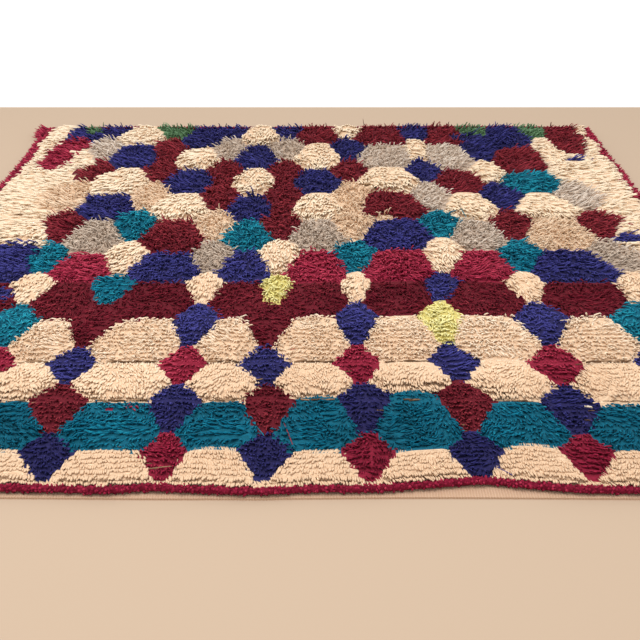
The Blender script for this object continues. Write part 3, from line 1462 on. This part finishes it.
def build_ground(material):
    """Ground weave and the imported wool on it, in one closed sheet with woven end bands."""
    columns, rows = KNOTS_ACROSS, KNOT_ROWS + 2 * BAND_STEPS
    sheet = bmesh.new()
    top, under = [], []
    for i in range(columns + 1):
        places = [sheet_place(j - BAND_STEPS, i) for j in range(rows + 1)]
        top.append([sheet.verts.new(plan_point(*point)) for point in places])
        if i % 2 == 0:
            under.append([sheet.verts.new(plan_point(x, y, 0.0)) for x, y, _ in places[::2]])
    dye = sheet.loops.layers.float_color.new("dye")
    woven = sheet.loops.layers.float.new("woven")

    def add_face(corners, colour=BAND_COLOUR, is_woven=True):
        for loop in sheet.faces.new(corners).loops:
            loop[dye] = (*colour, 1.0)
            loop[woven] = float(is_woven)

    for i in range(columns):
        for j in range(rows):
            row = j - BAND_STEPS
            corners = top[i][j], top[i + 1][j], top[i + 1][j + 1], top[i][j + 1]
            if 0 <= row < KNOT_ROWS:
                add_face(corners, packed_colour(knots[row][i]), False)
            else:
                add_face(corners)
    for i in range(columns // 2):
        for j in range(rows // 2):
            row = 2 * j - BAND_STEPS
            has_knots = 0 <= row < KNOT_ROWS
            colour = YARNS[knots[row][2 * i].yarn].middle if has_knots else BAND_COLOUR
            add_face((under[i][j], under[i][j + 1], under[i + 1][j + 1], under[i + 1][j]), colour)
    for i in range(columns // 2):
        add_face((under[i][0], under[i + 1][0], *(top[2 * i + k][0] for k in (2, 1, 0))))
        add_face((under[i + 1][-1], under[i][-1], *(top[2 * i + k][-1] for k in (0, 1, 2))))
    for j in range(rows // 2):
        add_face((under[0][j + 1], under[0][j], *(top[0][2 * j + k] for k in (0, 1, 2))))
        add_face((under[-1][j], under[-1][j + 1], *(top[-1][2 * j + k] for k in (2, 1, 0))))
    piece = mesh_piece("ground_weave", sheet, material)
    piece.data.shade_smooth()
    piece.data.set_sharp_from_angle(angle=math.radians(50))
    return piece


def random_lane(draw, middle, spread):
    """A dye lane drawn around a middle shade, from 0 for the darkest to 1 for the palest."""
    return int(min(max(draw.gauss(middle, spread), 0.0), 0.999) * LANES)


def yarn_row_ends(row, count, longest, draw):
    """Short cut ends all round a thick yarn row."""
    ends = []
    left, right = left_edge(row(0.0)) + ROW_END_INSET, right_edge(row(0.0)) - ROW_END_INSET
    for index in range(count):
        x = blend(left, right, (index + 0.5) / count)
        for angle in ROW_END_ANGLES:
            turn = math.radians(angle + draw.uniform(-ROW_END_SWING, ROW_END_SWING))
            out = Vector((draw.uniform(-0.6, 0.6), math.sin(turn), math.cos(turn))).normalized()
            centre = plan_point(x + draw.uniform(-0.003, 0.003), row(x), ROW_REST + ROW_RADIUS)
            lane = random_lane(draw, *ROW_SHADES)
            length = longest * draw.uniform(0.6, 1.0)
            spin = draw.uniform(0, math.tau)
            root = centre + out * ROW_RADIUS * ROW_END_DEPTH
            ends.append(YarnEnd(root, out, length, spin, lane, draw.uniform(0.8, 1.2)))
    return ends


def edging_ends(edge, outward, draw):
    """Crimson ends wound round one side of the rug, lying outwards on the floor."""
    ends = []
    for index in range(EDGING_STATIONS):
        y = blend(*EDGING, (index + 0.5) / EDGING_STATIONS)
        corner = smooth_step(*CORNER_TUFTS_FROM, y) if outward < 0 else 0.0
        tuft = 0.5 + 0.5 * noise.noise((y * TUFT_WAVES, outward * 5.0, 0.0))
        usual, at_corner = (least + more * tuft for least, more in (EDGING_REACH, CORNER_REACH))
        for layer in range(EDGING_LAYERS):
            reach = blend(usual, at_corner, corner) * draw.uniform(0.7, 1.2)
            standing_up = layer == EDGING_LAYERS - 1
            lift = draw.uniform(0.9, 1.8) if standing_up else draw.uniform(0.1, 0.7)
            out = Vector((outward, draw.uniform(-0.45, 0.35), lift * 0.6)).normalized()
            x = edge(y) + outward * draw.uniform(0.001, 0.006)
            z = draw.uniform(0.003, 0.007)
            lane = random_lane(draw, *EDGING_SHADES)
            root = plan_point(x, y + draw.uniform(-0.003, 0.003), z)
            turn = math.atan2(out.x, -out.y)
            ends.append(YarnEnd(root, out, reach, turn, lane, draw.uniform(0.8, 1.2)))
    return ends


def build_core(name, points, radius, material):
    """The yarn wound under a row of cut ends: a lumpy closed tube along the given points."""
    tube = bmesh.new()
    uv = tube.loops.layers.uv.new("OFBake")
    draw = random.Random(SEED + len(name))
    circles = []
    for index, point in enumerate(points):
        after = points[min(index + 1, len(points) - 1)]
        before = points[max(index - 1, 0)]
        along = (after - before).normalized()
        across = along.cross(Vector((0, 0, 1))).normalized()
        up = across.cross(along)
        size = radius * draw.uniform(*CORE_LUMPS)
        circles.append([
            tube.verts.new(point + size * (math.cos(a) * across + math.sin(a) * up))
            for a in circle_angles(CORE_SIDES)
        ])
    for index, (lower, upper) in enumerate(zip(circles, circles[1:])):
        lane = index % CORE_LANES
        span = (lane + LANE_MARGIN) / LANES, (lane + 1 - LANE_MARGIN) / LANES
        ring_faces(tube, uv, lower, upper, span, (0.1, 0.6))
    spots = [(0.5 + 0.4 * math.cos(k), 0.2 + 0.1 * math.sin(k)) for k in range(CORE_SIDES)]
    map_face(tube, uv, circles[0][::-1], spots)
    map_face(tube, uv, circles[-1], spots)
    bmesh.ops.recalc_face_normals(tube, faces=tube.faces)
    return mesh_piece(name, tube, material)


def crimson_yarn(name, line, core_radius, ends, shapes, width, spread, turn_spread, seed):
    """Crimson yarn along a line: its wound core and its cut ends, joined as one piece."""
    core = build_core(f"{name}_core", line, core_radius, wools["crimson"])
    cut = knot_piece(
        f"{name}_ends", ends, shapes, width, spread, turn_spread, wools["crimson"], seed
    )
    bpy.ops.object.select_all(action="DESELECT")
    for part in (core, cut):
        part.select_set(True)
    bpy.context.view_layer.objects.active = core
    bpy.ops.object.join()
    core.name = core.data.name = f"{name}_yarn"
    return core


def fit(piece, slot, *nodes):
    """Give a finished piece its record slot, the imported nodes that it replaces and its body."""
    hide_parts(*nodes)
    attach(piece, "root")
    return piece


def build_camera():
    """The camera that took the photo, as its perspective gives it."""
    camera = bpy.data.cameras.new("camera")
    camera.lens = CAMERA_LENS
    camera.shift_x = CENTRE_RIGHT / PICTURE_WIDTH
    camera.shift_y = CENTRE_DOWN / PICTURE_WIDTH
    holder = bpy.data.objects.new("camera", camera)
    holder.location = plan_point(*CAMERA_PLAN)
    holder.rotation_euler = (math.radians(90 - CAMERA_PITCH), 0.0, 0.0)
    bpy.context.scene.collection.objects.link(holder)
    bpy.context.scene.camera = holder


def floor_piece(name, low, high, z, colour):
    """A flat piece of the floor, which is staging and not part of the rug."""
    mesh = bpy.data.meshes.new(name)
    corners = [(low.x, low.y, z), (high.x, low.y, z), (high.x, high.y, z), (low.x, high.y, z)]
    mesh.from_pydata(corners, [], [(0, 1, 2, 3)])
    material, tree, shader = new_material(name)
    look = {"Base Color": (*colour, 1.0), "Roughness": 0.85, "Specular IOR Level": 0.2}
    wire(tree, shader, look)
    mesh.materials.append(material)
    new_piece(name, mesh)


def build_studio():
    """Pale floor, white ground beyond it, and soft light from above and behind."""
    edge = plan_point(0, FLOOR_FAR_EDGE).y
    low, high = Vector((-FLOOR_REACH, -FLOOR_REACH)), Vector((FLOOR_REACH, edge))
    floor_piece("floor", low, high, 0.0, FLOOR_COLOUR)
    low, high = Vector((-GROUND_REACH, -GROUND_REACH)), Vector((GROUND_REACH, GROUND_REACH))
    floor_piece("white_ground", low, high, -GROUND_DROP, GROUND_COLOUR)
    world = bpy.data.worlds.new("studio")
    world.use_nodes = True
    sky = {"Color": SKY_COLOUR, "Strength": SKY_STRENGTH}
    wire(world.node_tree, world.node_tree.nodes["Background"], sky)
    bpy.context.scene.world = world
    light = bpy.data.lights.new("soft_light", "AREA")
    light.energy = LAMP_POWER
    light.size = LAMP_SIZE
    light.color = LAMP_COLOUR
    holder = bpy.data.objects.new("soft_light", light)
    holder.location = LAMP_PLACE
    ray = Vector(LAMP_AIM) - holder.location
    holder.rotation_euler = ray.to_track_quat("-Z", "Y").to_euler()
    bpy.context.scene.collection.objects.link(holder)
    bpy.context.scene.view_settings.view_transform = "Standard"


build_camera()
build_studio()

bare_lines = [behind_its_row(bare) for bare in BARE_LINES]
knots = tie_knots()
knotting_tree = build_knotting_tree()
lane_group = build_lane_group()
wools = {name: wool_material(yarn.slot, yarn) for name, yarn in YARNS.items()}

shapes = {name: yarn_shapes(f"{name}_yarn", *sort) for name, sort in SORTS.items()}

ground = fit(build_ground(ground_material()), "ground_weave", "rug")

wool_pieces = []
for (yarn_name, zone), ends in sorted(knot_ends().items()):
    yarn = YARNS[yarn_name]
    pile = knot_piece(
        f"{yarn_name}_pile_{zone.name}",
        ends,
        shapes[zone.name],
        zone.width * yarn.width,
        yarn.spread * (COMBED_SPREAD if zone.until < 1.0 else 1.0),
        zone.turn_spread,
        wools[yarn_name],
        SEED + len(wool_pieces),
    )
    wool_pieces.append(fit(pile, yarn.slot, "rug", "far_pile_locks"))

weft = knot_piece(
    "weft_showing", weft_strands(), shapes["edge"], WEFT_WIDTH, 0.06, 3.1, wools["weft"], SEED
)
wool_pieces.append(fit(weft, "ground_weave", "rug"))

draw = random.Random(SEED + 1)
for cad_name, row, stations, longest in (
    ("end_row_near", near_row, 300, 0.0062),
    ("end_row_far", far_row, 140, 0.0055),
):
    low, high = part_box(cad_name)
    line = []
    for index in range(ROW_STEPS + 1):
        x = blend(low.x, high.x, index / ROW_STEPS) - PLAN_SHIFT.x
        line.append(plan_point(x, row(x), ROW_REST + ROW_RADIUS))
    ends = yarn_row_ends(row, stations, longest, draw)
    piece = crimson_yarn(
        cad_name, line, ROW_RADIUS * ROW_CORE_SHARE, ends, shapes["stub"],
        width=0.0046, spread=0.40, turn_spread=3.1, seed=5,
    )
    wool_pieces.append(fit(piece, "crimson_wool", cad_name))

for cad_names, edge, outward in (
    (("selvedge_left", "corner_tufts_left"), left_edge, -1),
    (("selvedge_right",), right_edge, 1),
):
    line = []
    for index in range(EDGE_STEPS + 1):
        y = blend(*EDGE_CORE, index / EDGE_STEPS)
        line.append(plan_point(edge(y) + outward * EDGE_CORE_OUT, y, EDGE_CORE_HEIGHT))
    ends = edging_ends(edge, outward, draw)
    piece = crimson_yarn(
        cad_names[0], line, EDGE_CORE_RADIUS, ends, shapes["edge"],
        width=0.0040, spread=0.12, turn_spread=0.8, seed=6,
    )
    wool_pieces.append(fit(piece, "crimson_wool", *cad_names))

for collection in shapes.values():
    for shape in list(collection.objects):
        bpy.data.objects.remove(shape)
    bpy.data.collections.remove(collection)
